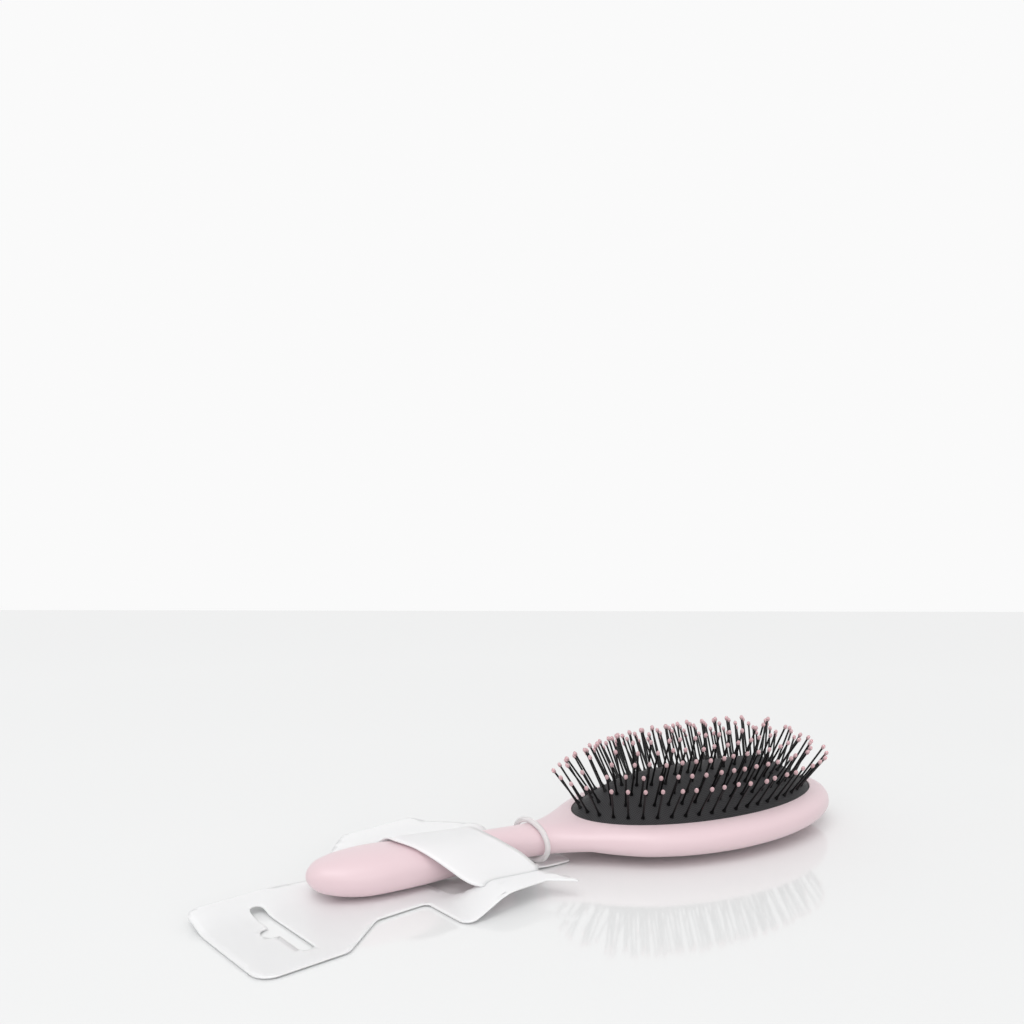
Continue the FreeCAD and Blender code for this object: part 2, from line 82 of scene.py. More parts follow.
TOP_HEIGHT = np.array([BUTT_HEIGHT, 13.0, 14.4, 13.6, 13.1, 12.8])
BOTTOM_HEIGHT = np.array([BUTT_HEIGHT, 3.6, 1.1, 1.4, 2.7, 3.3])
HANDLE_POWER = 2 / 2.25


def ease(share):
    """Rises from 0 to 1 with level ends: 3 t squared less 2 t cubed."""
    held = np.clip(share, 0, 1)
    return held * held * (3 - 2 * held)


def through(x, knots, values):
    """A smooth curve through the knots that never overshoots them: a cubic between each two, whose
    slope at a knot is the harmonic mean of the slopes beside it, or level at a turn."""
    step = np.diff(knots)
    slope = np.diff(values) / step
    tangent = np.zeros(len(knots))
    rising = slope[:-1] * slope[1:] > 0
    before = 2 * step[1:] + step[:-1]
    after = step[1:] + 2 * step[:-1]
    with np.errstate(divide="ignore", invalid="ignore"):
        mean = (before + after) / (before / slope[:-1] + after / slope[1:])
    tangent[1:-1] = np.where(rising, mean, 0)
    tangent[0], tangent[-1] = slope[0], slope[-1]
    cell = np.clip(np.searchsorted(knots, x) - 1, 0, len(step) - 1)
    t = (x - knots[cell]) / step[cell]
    rise = values[cell + 1] - values[cell]
    bend_in = t * (1 - t) ** 2 * step[cell] * tangent[cell]
    bend_out = t * t * (1 - t) * step[cell] * tangent[cell + 1]
    return values[cell] + rise * (3 * t * t - 2 * t ** 3) + bend_in - bend_out


def head_half_width(x):
    """Half width of the head's outline, an ellipse about the middle of the head."""
    return HEAD_HALF_WIDTH * np.sqrt(np.clip(1 - (x / HEAD_HALF_LENGTH) ** 2, 0, 1))


def body_half_width(x):
    """Half width of the outline: its square runs smoothly through the handle's and the flare's
    stations, and becomes the head's ellipse."""
    knots = np.concatenate([HANDLE_X, FLARE_X])
    widths = np.concatenate([HANDLE_HALF_WIDTH, FLARE_HALF_WIDTH, head_half_width(FLARE_X[-2:])])
    inner = np.sqrt(np.maximum(through(np.clip(x, BUTT_X, FLARE_X[-1]), knots, widths ** 2), 0))
    return np.where(x < FLARE_X[-1], inner, head_half_width(x))


def back_climb(spread):
    """Height share of the head's back at a share of the way out from its middle: one less the
    superellipse whose power is the underside's, so it climbs late and steeply."""
    return 1 - np.clip(1 - np.clip(spread, 0, 1) ** UNDERSIDE_POWER, 0, 1) ** (1 / UNDERSIDE_POWER)


def body_rings(stations, quarter):
    """Closed rings of points across the body. Along the handle each is a superellipse about the
    middle height. On the head the upper half follows curves offset outward from the cushion's
    edge, over a quarter-round rim, and the lower half is a dished oval with a flat at its middle."""
    share = 0.5 * (1 - np.cos(np.linspace(0, math.pi, stations)))
    x = (BUTT_X + (HEAD_HALF_LENGTH - BUTT_X) * share)[:, None]
    turn = np.linspace(0, math.pi / 2, quarter)[None, :]
    width = body_half_width(x)
    held = np.clip(x, BUTT_X, NECK_X)
    top = through(held, LEVEL_X, TOP_HEIGHT)
    bottom = through(held, LEVEL_X, BOTTOM_HEIGHT)
    middle = (top + bottom) / 2
    half = np.sqrt(through(held, LEVEL_X, (TOP_HEIGHT - BOTTOM_HEIGHT) ** 2)) / 2
    y_handle = np.cos(turn) ** HANDLE_POWER
    z_handle = half * np.sin(turn) ** HANDLE_POWER
    head = ease((x - HEAD_BLEND_START) / HEAD_BLEND_LENGTH)
    along = np.clip(x, HEAD_FORM_START, HEAD_FORM_END_SHARE * HEAD_HALF_LENGTH)
    least = np.maximum(np.abs(along) - PAD_HALF_LENGTH, 0)
    offset = least + (RIM_WIDTH - least) * (1 - np.sin(turn) ** RIM_ROLL_POWER)
    reach = np.sqrt(np.clip(1 - (along / (PAD_HALF_LENGTH + offset)) ** 2, 0, 1))
    y_rim = (PAD_HALF_WIDTH + offset) * reach / head_half_width(along)
    roll = np.clip(1 - (offset / RIM_WIDTH) ** RIM_POWER, 0, 1) ** (1 / RIM_POWER)
    z_rim = WIDEST_HEIGHT + (RIM_CREST - WIDEST_HEIGHT) * roll
    y_back = np.cos(turn)
    spread = np.hypot(along / HEAD_HALF_LENGTH, y_back * head_half_width(along) / HEAD_HALF_WIDTH)
    flat = back_climb(REST_FLAT)
    z_back = WIDEST_HEIGHT * np.maximum(back_climb(spread) - flat, 0) / (1 - flat)
    y_top = width * ((1 - head) * y_handle + head * y_rim)
    z_top = (1 - head) * (middle + z_handle) + head * z_rim
    y_low = width * ((1 - head) * y_handle + head * y_back)
    z_low = (1 - head) * (middle - z_handle) + head * z_back
    y = np.hstack([y_top, -y_top[:, ::-1], -y_low[:, 1:], y_low[:, -2:0:-1]])
    z = np.hstack([z_top, z_top[:, ::-1], z_low[:, 1:], z_low[:, -2:0:-1]])
    return np.stack([np.broadcast_to(x, y.shape), y, z], axis=-1)


def new_piece(name, vertices, faces, joined=1e-6):
    """A mesh object from points in millimetres, with points closer than joined (in metres) made
    one, and faces outward."""
    mesh = bpy.data.meshes.new(name)
    mesh.from_pydata((vertices * MM).tolist(), [], faces)
    work = bmesh.new()
    work.from_mesh(mesh)
    bmesh.ops.remove_doubles(work, verts=work.verts, dist=joined)
    bmesh.ops.recalc_face_normals(work, faces=work.faces)
    work.to_mesh(mesh)
    work.free()
    mesh.shade_smooth()
    piece = bpy.data.objects.new(name, mesh)
    bpy.context.scene.collection.objects.link(piece)
    return piece


def ring_faces(rows, columns, closed=True):
    """Quads between neighbouring rows of a grid, whose columns may run round in a ring."""
    across = columns if closed else columns - 1
    row, column = np.meshgrid(np.arange(rows - 1), np.arange(across), indexing="ij")
    after = (column + 1) % columns
    quads = np.stack([row * columns + column, row * columns + after,
                      (row + 1) * columns + after, (row + 1) * columns + column], axis=-1)
    return quads.reshape(-1, 4).tolist()


def turned_sharp(piece, degrees):
    """Shades a piece smooth, but for edges that turn by more than this."""
    piece.data.set_sharp_from_angle(angle=math.radians(degrees))


def finish_with(piece, material):
    """Gives the whole piece one material."""
    piece.data.materials.clear()
    piece.data.materials.append(material)


body_points = body_rings(stations=230, quarter=22)
brush = new_piece("brush_moulding", body_points.reshape(-1, 3), ring_faces(*body_points.shape[:2]))


def oval_prism(name, half_length, half_width, low, high, sides=256):
    """An upright oval block between two heights."""
    angle = np.linspace(0, 2 * math.pi, sides, endpoint=False)
    outline = np.stack([half_length * np.cos(angle), half_width * np.sin(angle)], axis=-1)
    rows = [np.column_stack([outline * share, np.full(sides, height)])
            for share, height in ((0, low), (1, low), (1, high), (0, high))]
    return new_piece(name, np.concatenate(rows), ring_faces(4, sides))


def carve(piece, cutter):
    """Cuts one piece out of another, for good, and removes the cutter."""
    cut = piece.modifiers.new("carve", "BOOLEAN")
    cut.operation = "DIFFERENCE"
    cut.solver = "EXACT"
    cut.object = cutter
    graph = bpy.context.evaluated_depsgraph_get()
    carved = bpy.data.meshes.new_from_object(piece.evaluated_get(graph))
    piece.modifiers.remove(cut)
    piece.data = carved
    bpy.data.objects.remove(cutter)


carve(brush, oval_prism("opening", PAD_HALF_LENGTH, PAD_HALF_WIDTH, SEAT_HEIGHT, RIM_CREST + RIM_WIDTH))
turned_sharp(brush, degrees=40)


class Value:
    """A shader socket that takes part in Python sums: each operator adds a Math node."""

    def __init__(self, maker, socket):
        self.maker = maker
        self.socket = socket

    def sum(self, operation, *others):
        terms = dict(enumerate([self, *others]))
        return self.maker.node("ShaderNodeMath", {"operation": operation}, terms).out()

    def __add__(self, other):
        return self.sum("ADD", other)

    __radd__ = __add__

    def __mul__(self, other):
        return self.sum("MULTIPLY", other)

    __rmul__ = __mul__

    def __sub__(self, other):
        return self.sum("SUBTRACT", other)

    def __rsub__(self, other):
        return (self * -1.0) + other

    def sine(self):
        return self.sum("SINE")

    def larger(self, other):
        return self.sum("MAXIMUM", other)


class Step:
    """A node that was added, whose outputs are read by name or number."""

    def __init__(self, maker, node):
        self.maker = maker
        self.node = node

    def out(self, which=0):
        return Value(self.maker, self.node.outputs[which])


class Graph:
    """A node tree that grows by one method, from a node's type, settings and sockets."""

    def __init__(self, tree):
        self.tree = tree

    def node(self, kind, settings=None, sockets=None):
        made = self.tree.nodes.new(kind)
        for setting, value in (settings or {}).items():
            setattr(made, setting, value)
        for which, value in (sockets or {}).items():
            self.feed(made.inputs[which], value)
        return Step(self, made)

    def feed(self, socket, value):
        if isinstance(value, Value):
            self.tree.links.new(value.socket, socket)
        else:
            socket.default_value = value


class Finish(Graph):
    """A material, built up from nodes around its principled shader. Constants go straight to the
    shader's own sockets, by name."""

    def __init__(self, name, **plain):
        self.material = bpy.data.materials.new(name)
        self.material.use_nodes = True
        super().__init__(self.material.node_tree)
        self.shader = self.tree.nodes["Principled BSDF"]
        for socket, value in plain.items():
            self.shader.inputs[socket.replace("_", " ")].default_value = value

    def surface(self, socket, value):
        self.feed(self.shader.inputs[socket], value)

    def place(self):
        return self.node("ShaderNodeTexCoord").out("Object")

    def noise(self, scale, detail=3.0):
        return self.node("ShaderNodeTexNoise", None, {
            "Vector": self.place(), "Scale": scale, "Detail": detail, "Roughness": 0.5}).out("Fac")

    def mixed(self, share, low, high):
        """A colour between two: sockets 0, 6 and 7 are the Mix node's factor and its colours."""
        return self.node("ShaderNodeMix", {"data_type": "RGBA"}, {0: share, 6: low, 7: high}).out(2)

    def relief(self, height, distance, strength):
        bump = self.node("ShaderNodeBump", None, {
            "Strength": strength, "Distance": distance, "Height": height})
        self.surface("Normal", bump.out("Normal"))


# A matt rubbery lacquer over pink plastic: very fine grain, a faint cloudiness in its colour, and a
# soft edge sheen.
PINK = (0.80, 0.615, 0.65, 1)
PINK_DEEP = (0.775, 0.59, 0.627, 1)
soft_touch = Finish("soft_touch_pink", Sheen_Weight=0.3, Sheen_Roughness=0.45, Coat_Weight=0.7,
                    Coat_Roughness=0.4)
soft_touch.surface("Base Color", soft_touch.mixed(soft_touch.noise(scale=35.0), PINK, PINK_DEEP))
soft_touch.surface("Roughness", 0.46 + 0.08 * soft_touch.noise(scale=90.0))
soft_touch.relief(soft_touch.noise(scale=5200.0, detail=2.0), distance=0.00002, strength=0.35)
finish_with(brush, soft_touch.material)
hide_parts("brush_body")
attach(brush, "brush")

# Cushion: a domed sheet of black rubber, drawn down into the rim's opening, with a fine woven
# grain. Air under it lets it give when the bristles are pressed.
PAD_GAP = 0.1
PAD_EDGE = 12.8
DOME_RISE = 11.6
DOME_POWER = 1.6
DOME_HALF_LENGTH = PAD_HALF_LENGTH - PAD_GAP
DOME_HALF_WIDTH = PAD_HALF_WIDTH - PAD_GAP
SKIRT_FOOT = 9.0
SKIRT_TOP = PAD_EDGE - 0.4
LEVEL_CROWDING = 1.2


def dome_height(offset):
    """Height of the dome where its level line lies this far inside the cushion's edge: it rises
    from the edge by one less a power of the share of the way that is left to the crown."""
    return PAD_EDGE + DOME_RISE * (1 - (1 - offset / DOME_HALF_WIDTH) ** DOME_POWER)


def dome_rings(sides, rows):
    """Level lines of the cushion: ovals drawn in from its edge by the same distance all round, which
    close on a line at the crown, and a skirt and a floor below the edge."""
    angle = np.linspace(0, 2 * math.pi, sides, endpoint=False)
    offsets = DOME_HALF_WIDTH * np.linspace(0, 1, rows) ** LEVEL_CROWDING
    levels = [(DOME_HALF_WIDTH, SKIRT_FOOT), (0.0, SKIRT_FOOT), (0.0, SKIRT_TOP)]
    levels += [(offset, dome_height(offset)) for offset in offsets]
    return np.stack([np.column_stack([
        (DOME_HALF_LENGTH - offset) * np.cos(angle), (DOME_HALF_WIDTH - offset) * np.sin(angle),
        np.full(sides, height)]) for offset, height in levels])


pad_points = dome_rings(sides=160, rows=34)
pad = new_piece("cushion", pad_points.reshape(-1, 3), ring_faces(*pad_points.shape[:2]), joined=1e-5)
turned_sharp(pad, degrees=50)
GRAIN_PITCH = 0.8 * MM
RUBBER = (0.003, 0.0025, 0.0035, 1)
RUBBER_CREST = (0.040, 0.039, 0.042, 1)
rubber = Finish("black_rubber", Specular_IOR_Level=0.35)
spot = rubber.node("ShaderNodeSeparateXYZ", None, {0: rubber.place()})
slant = spot.out("X") + spot.out("Y")
cross = spot.out("X") - spot.out("Y")
wave = 2 * math.pi / (GRAIN_PITCH * math.sqrt(2))
grain = (slant * wave).sine() * (cross * wave).sine()
rubber.surface("Base Color", rubber.mixed(0.5 + 0.5 * grain, RUBBER, RUBBER_CREST))
rubber.surface("Roughness", 0.5 + 0.1 * rubber.noise(scale=300.0))
rubber.relief(grain, distance=0.00006, strength=0.8)
finish_with(pad, rubber.material)
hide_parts("cushion_pad")
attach(pad, "brush")

# Bristles: black nylon pins in five rings about the cushion's crown. Each is pushed up through the
# rubber to its shoulder, and leans out a little more than square to the dome.
PINS_IN_RING = (45, 40, 34, 28, 23)
RING_EDGE_MARGIN = 2.6
INNER_RING_HALF_WIDTH = 5.0
PIN_LEAN = 1.02
PIN_LENGTH = 13.5
PIN_RADIUS = 0.34
PIN_FOOT = -0.9
SHOULDER_RADIUS = 0.68
SHOULDER_TOP = 0.15
TAPER = ((0.5, 0.7), (PIN_RADIUS, 1.45))
STRAY_LEAN = 0.04
ring_pitch = (DOME_HALF_WIDTH - RING_EDGE_MARGIN - INNER_RING_HALF_WIDTH) / (len(PINS_IN_RING) - 1)
stray = np.random.default_rng(7)


def even_angles(half_length, half_width, count, start):
    """Angles of an oval's parametric form at even steps along its line."""
    fine = np.linspace(0, 2 * math.pi, 4 * 360 + 1)
    middle = (fine[1:] + fine[:-1]) / 2
    length = np.hypot(half_length * np.sin(middle), half_width * np.cos(middle))
    run = np.concatenate([[0], np.cumsum(length)])
    return np.interp(run[-1] * (np.arange(count) + start) / count, run, fine)


def pin_frames(ring):
    """Base points and upright, side and cross directions of a ring's pins. They stand at even steps
    on one of the dome's level lines, lean out by the dome's slope there, and stray a little."""
    offset = RING_EDGE_MARGIN + ring * ring_pitch
    half_length = DOME_HALF_LENGTH - offset
    half_width = DOME_HALF_WIDTH - offset
    angle = even_angles(half_length, half_width, PINS_IN_RING[ring], 0.5 * (ring % 2))
    slope = DOME_RISE * DOME_POWER / DOME_HALF_WIDTH * (1 - offset / DOME_HALF_WIDTH) ** (DOME_POWER - 1)
    outward = np.column_stack([np.cos(angle) / half_length, np.sin(angle) / half_width, 0 * angle])
    outward /= np.linalg.norm(outward, axis=1, keepdims=True)
    upright = outward * PIN_LEAN * slope + np.array([0, 0, 1])
    upright /= np.linalg.norm(upright, axis=1, keepdims=True)
    upright[:, :2] += stray.normal(0, STRAY_LEAN, (len(angle), 2))
    side = np.cross(upright, np.array([0, 1, 0]))
    side /= np.linalg.norm(side, axis=1, keepdims=True)
    base = np.column_stack([half_length * np.cos(angle), half_width * np.sin(angle),
                            np.full(len(angle), dome_height(offset))])
    return base, upright, side, np.cross(upright, side)


def turned_copies(frames, profile, sides):
    """One turned shape for each frame: a profile of (radius, height) rows carried round the pin's
    line. Every copy's first and last rows are points on that line."""
    base, upright, side, cross = frames
    angle = np.linspace(0, 2 * math.pi, sides, endpoint=False)
    radius, height = np.array(profile).T
    ring = (side[:, None, :] * np.cos(angle)[None, :, None]
            + cross[:, None, :] * np.sin(angle)[None, :, None])
    points = (base[:, None, None, :] + upright[:, None, None, :] * height[None, :, None, None]
              + ring[:, None, :, :] * radius[None, :, None, None])
    first = np.arange(len(base)) * len(profile) * sides
    faces = np.array(ring_faces(len(profile), sides))[None] + first[:, None, None]
    return points.reshape(-1, 3), faces.reshape(-1, 4).tolist()


pin_profile = [(0, PIN_FOOT), (SHOULDER_RADIUS, PIN_FOOT), (SHOULDER_RADIUS, SHOULDER_TOP), *TAPER,
               (PIN_RADIUS, PIN_LENGTH), (0, PIN_LENGTH)]
nylon = Finish("black_nylon", Base_Color=(0.004, 0.004, 0.0045, 1), Specular_IOR_Level=0.25)
nylon.surface("Roughness", 0.24 + 0.1 * nylon.noise(scale=400.0))

# Tips: an egg-shaped ball of pale pink resin on each pin, dipped on and cured. Light goes a little
# way into it.
BALL_RADIUS = 0.7
BALL_HALF = 0.925
BALL_SINK = 0.9
RESIN = (0.95, 0.66, 0.69, 1)
RESIN_DEEP = (0.92, 0.60, 0.63, 1)
ball_middle = PIN_LENGTH - BALL_SINK + BALL_HALF
ball_turn = np.linspace(-math.pi / 2, math.pi / 2, 8)
ball_profile = [(BALL_RADIUS * math.cos(turn), ball_middle + BALL_HALF * math.sin(turn))
                for turn in ball_turn]
resin = Finish("pink_resin", Roughness=0.3, Transmission_Weight=0.4, IOR=1.35)
resin.surface("Base Color", resin.mixed(resin.noise(scale=700.0), RESIN, RESIN_DEEP))
for ring in range(len(PINS_IN_RING)):
    frames = pin_frames(ring)
    pins = new_piece(f"pins_{ring + 1}", *turned_copies(frames, pin_profile, sides=10), joined=1e-7)
    turned_sharp(pins, degrees=45)
    finish_with(pins, nylon.material)
    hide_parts(f"bristle_ring_{ring + 1}")
    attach(pins, f"ring_{ring + 1}")
    tips = new_piece(f"tips_{ring + 1}", *turned_copies(frames, ball_profile, sides=10), joined=1e-7)
    finish_with(tips, resin.material)
    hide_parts(f"bristle_tips_{ring + 1}")
    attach(tips, f"ring_{ring + 1}")

# Hang card: one die-cut white card, coated and matt. Its header has the peg slot, the handle lies
# on it, a strap cut from its middle goes over the handle, and a tongue goes on under the neck.
CARD_THICKNESS = 0.45
CARD_HEIGHT = 0.5
CARD_START = np.array([-169.5, -18.3])
CARD_TURN = math.radians(13)
HEADER_HALF_WIDTH = 23.7
HEADER_DEPTH = 26.7
HEADER_RADIUS = 5.5
HEADER_LIFT = 2.4
WAIST_HALF_WIDTH = 11.3
WAIST_START = 43.5
WING_START = 61.0
WING_HALF_WIDTH = 30.7
WING_RISE = 5.3
WING_RAMP = 18.0
WING_RADIUS = 4.0
TIGHT_RADIUS = 2.0
FLAP_START = 91.0
FLAP_TIP = (100.3, -38.8)
FLAP_TIP_RADIUS = 0.8
FLAP_ROOT = (94.0, -23.0)
FAR_WAIST_HALF_WIDTH = 19.5
FAR_WING_RADIUS = 10.0
FAR_WING_START = 58.5
FAR_WING_RISE = 9.5
FAR_WING_RAMP = 22.0
FAR_WING_CLEAR = 7.5
FAR_WING_BANK = 8.5
FAR_WING_CORNER = 84.5
FAR_WING_STEP = (86.5, 24.0)
FAR_WING_END = (90.0, 21.0)
FALL_START = 97.0
FALL_LENGTH = 13.0
TONGUE_NEAR_ROOT = (104.0, -12.4)
TONGUE_FAR_ROOT = (96.5, 13.5)
TONGUE_FAR_START = (101.0, 11.5)
TONGUE_END = 117.5
TONGUE_END_HALF_WIDTH = 13.8
WINDOW_START = 67.5
WINDOW_NEAR_START = 71.2
WINDOW_END = 92.0
WINDOW_HALF_WIDTH = 18.2
WINDOW_FAR_HALF_WIDTH = 11.0
WINDOW_RADIUS = 5.0
SLOT_HALF_LENGTH = 16.0
SLOT_INNER = 21.1
SLOT_WIDTH = 4.5
SLOT_RADIUS = 2.1
SLOT_BUMP_HALF_WIDTH = 3.4
SLOT_BUMP_DEPTH = 3.7
SLOT_BUMP_RADIUS = 3.1


def on_table(along, across):
    """X and Y of a place on the card, which starts at one point and lies turned."""
    c, s = math.cos(CARD_TURN), math.sin(CARD_TURN)
    return CARD_START[0] + along * c - across * s, CARD_START[1] + along * s + across * c


def card_level(along, across):
    """Height of the card's lower face: level under the handle, with a near wing that rises a little,
    a far wing that stands up beside the handle, and a header whose far side is off the table."""
    falls = 1 - ease((along - FALL_START) / FALL_LENGTH)
    side = ease((np.abs(across) - WINDOW_HALF_WIDTH / 2) / WAIST_HALF_WIDTH)
    near = WING_RISE * ease((along - WING_START) / WING_RAMP) * falls * side
    lift = HEADER_LIFT * (1 - ease((along - WAIST_START) / WINDOW_HALF_WIDTH)) * side
    bank = ease((on_table(along, across)[1] - FAR_WING_CLEAR) / FAR_WING_BANK)
    far = FAR_WING_RISE * ease((along - FAR_WING_START + FAR_WING_RAMP) / FAR_WING_RAMP) * falls * bank
    return CARD_HEIGHT + np.where(across <= 0, near, lift + far)


def rounded(corners, steps=7):
    """A closed outline through corners of (along, across, radius), with an arc in each. The arc's
    centre is on the corner's bisector, and its points are evenly spread on its chord."""
    corner = np.array(corners, float)
    place, radius = corner[:, :2], corner[:, 2]
    points = []
    for index in range(len(corner)):
        before = place[index - 1] - place[index]
        after = place[(index + 1) % len(corner)] - place[index]
        before /= np.linalg.norm(before)
        after /= np.linalg.norm(after)
        if radius[index] == 0:
            points.append(place[index][None])
            continue
        half = math.acos(np.clip(before @ after, -1, 1)) / 2
        inward = (before + after) / np.linalg.norm(before + after)
        centre = place[index] + inward * radius[index] / math.sin(half)
        first = place[index] + before * radius[index] / math.tan(half) - centre
        last = place[index] + after * radius[index] / math.tan(half) - centre
        share = np.linspace(0, 1, steps)[:, None]
        arc = first * (1 - share) + last * share
        points.append(centre + arc / np.linalg.norm(arc, axis=1, keepdims=True) * radius[index])
    return np.concatenate(points)


card_outline = rounded([
    (0.0, -HEADER_HALF_WIDTH, HEADER_RADIUS), (HEADER_DEPTH, -HEADER_HALF_WIDTH, HEADER_RADIUS),
    (WAIST_START, -WAIST_HALF_WIDTH, HEADER_RADIUS), (WING_START, -WAIST_HALF_WIDTH, TIGHT_RADIUS),
    (WING_START, -WING_HALF_WIDTH, WING_RADIUS), (FLAP_START, -WING_HALF_WIDTH, TIGHT_RADIUS),
    (*FLAP_TIP, FLAP_TIP_RADIUS), (*FLAP_ROOT, FLAP_TIP_RADIUS), (*TONGUE_NEAR_ROOT, WING_RADIUS),
    (TONGUE_END, -TONGUE_END_HALF_WIDTH, TIGHT_RADIUS), (TONGUE_END, TONGUE_END_HALF_WIDTH, TIGHT_RADIUS),
    (*TONGUE_FAR_START, WING_RADIUS), (*TONGUE_FAR_ROOT, WING_RADIUS), (*FAR_WING_END, WING_RADIUS),
    (*FAR_WING_STEP, TIGHT_RADIUS), (FAR_WING_CORNER, WING_HALF_WIDTH, TIGHT_RADIUS),
    (FAR_WING_START, WING_HALF_WIDTH, FAR_WING_RADIUS), (WAIST_START, FAR_WAIST_HALF_WIDTH, HEADER_RADIUS),
    (HEADER_DEPTH, HEADER_HALF_WIDTH, HEADER_RADIUS), (0.0, HEADER_HALF_WIDTH, HEADER_RADIUS)])
window_outline = rounded([
    (WINDOW_NEAR_START, -WINDOW_HALF_WIDTH, WINDOW_RADIUS),
    (WINDOW_END, -WINDOW_HALF_WIDTH, WINDOW_RADIUS),
    (WINDOW_END, WINDOW_FAR_HALF_WIDTH, WINDOW_RADIUS),
    (WINDOW_START, WINDOW_FAR_HALF_WIDTH, WINDOW_RADIUS)])
slot_outer = SLOT_INNER - SLOT_WIDTH
slot_outline = rounded([
    (SLOT_INNER, -SLOT_HALF_LENGTH, SLOT_RADIUS), (SLOT_INNER, SLOT_HALF_LENGTH, SLOT_RADIUS),
    (slot_outer, SLOT_HALF_LENGTH, SLOT_RADIUS), (slot_outer, SLOT_BUMP_HALF_WIDTH, 0),
    (slot_outer - SLOT_BUMP_DEPTH, SLOT_BUMP_HALF_WIDTH, SLOT_BUMP_RADIUS),
    (slot_outer - SLOT_BUMP_DEPTH, -SLOT_BUMP_HALF_WIDTH, SLOT_BUMP_RADIUS),
    (slot_outer, -SLOT_BUMP_HALF_WIDTH, 0), (slot_outer, -SLOT_HALF_LENGTH, SLOT_RADIUS)])


def die_cut(name, outline, holes, grid):
    """A flat sheet cut to an outline with holes, in its own plane, and scored across both ways so
    that it can bend."""
    curve = bpy.data.curves.new(name, "CURVE")
    curve.dimensions = "2D"
    curve.fill_mode = "BOTH"
    for line in (outline, *holes):
        spline = curve.splines.new("POLY")
        spline.points.add(len(line) - 1)
        level = np.broadcast_to([0.0, 1.0], line.shape)
        spline.points.foreach_set("co", np.hstack([line, level]).ravel())
        spline.use_cyclic_u = True
    holder = bpy.data.objects.new(name, curve)
    bpy.context.scene.collection.objects.link(holder)
    flat = bpy.data.meshes.new_from_object(holder.evaluated_get(bpy.context.evaluated_depsgraph_get()))
    bpy.data.objects.remove(holder)
    work = bmesh.new()
    work.from_mesh(flat)
    for axis in (0, 1):
        low, high = outline[:, axis].min(), outline[:, axis].max()
        normal = (1, 0, 0) if axis == 0 else (0, 1, 0)
        for place in np.arange(low + grid, high, grid):
            point = (place, 0, 0) if axis == 0 else (0, place, 0)
            everything = work.verts[:] + work.edges[:] + work.faces[:]
            bmesh.ops.bisect_plane(work, geom=everything, plane_co=point, plane_no=normal)
    bmesh.ops.remove_doubles(work, verts=work.verts, dist=0.02)
    work.to_mesh(flat)
    work.free()
    return flat


# The strap's edges on the card, as it lies over the handle, and its bow.
STRAP_BUTT_ACROSS = np.array([-27.3, -21.8, -18.7, -12.4, -2.7, 6.4, 14.6, 23.7])
STRAP_BUTT_EDGE = np.array([77.8, 74.9, 71.7, 68.0, 63.3, 60.4, 61.9, 64.1])
STRAP_HEAD_ACROSS = np.array([-27.3, -22.2, -17.8, -10.9, -4.6, 3.6, 13.7, 23.7])
STRAP_HEAD_EDGE = np.array([91.0, 94.5, 93.5, 90.3, 88.6, 88.3, 90.3, 93.5])
STRAP_NEAR_FOOT = np.array([-24.5, 4.8])
STRAP_FAR_FOOT = np.array([18.5, 9.0])
STRAP_BUTT_X = -128.0
STRAP_BUTT_CREST = np.array([1.0, 15.9])
STRAP_HEAD_X = -66.0
STRAP_HEAD_CREST = np.array([2.0, 13.0])
CREST_BREADTH = 1.5
STRAP_CLEAR = 0.1


def strap_level(x, y):
    """Height of the strap's inner face: level at its crest over the handle and level again at each
    foot, with an even fall between, which starts later on the near side."""
    share = (x - STRAP_BUTT_X) / (STRAP_HEAD_X - STRAP_BUTT_X)
    crest_y = STRAP_BUTT_CREST[0] + share * (STRAP_HEAD_CREST[0] - STRAP_BUTT_CREST[0])
    crest_z = STRAP_BUTT_CREST[1] + share * (STRAP_HEAD_CREST[1] - STRAP_BUTT_CREST[1])
    near = np.clip((y - crest_y) / (STRAP_NEAR_FOOT[0] - crest_y), 0, 1) ** CREST_BREADTH
    far = (y - crest_y) / (STRAP_FAR_FOOT[0] - crest_y)
    return np.where(y < crest_y, crest_z + (STRAP_NEAR_FOOT[1] - crest_z) * ease(near),
                    crest_z + (STRAP_FAR_FOOT[1] - crest_z) * ease(far))


def strap_points(rows, columns):
    """The strap as a grid: rows run across the handle between the places where the bow meets the
    wings, and columns from its butt edge to its head edge."""
    share = np.linspace(0, 1, columns)

    def strip(across):
        butt = through(across, STRAP_BUTT_ACROSS, STRAP_BUTT_EDGE)
        return butt * (1 - share) + through(across, STRAP_HEAD_ACROSS, STRAP_HEAD_EDGE) * share

    fine = np.linspace(STRAP_BUTT_ACROSS[0], STRAP_BUTT_ACROSS[-1], num=400)[:, None]
    along = strip(fine)
    x, y = on_table(along, fine)
    clear = strap_level(x, y) - card_level(along, fine) > STRAP_CLEAR
    first = fine[clear.argmax(0), 0]
    last = fine[len(fine) - 1 - clear[::-1].argmax(0), 0]
    across = first + (last - first) * np.linspace(0, 1, rows)[:, None]
    along = strip(across)
    x, y = on_table(along, across)
    return np.stack([x, y, strap_level(x, y)], axis=-1)


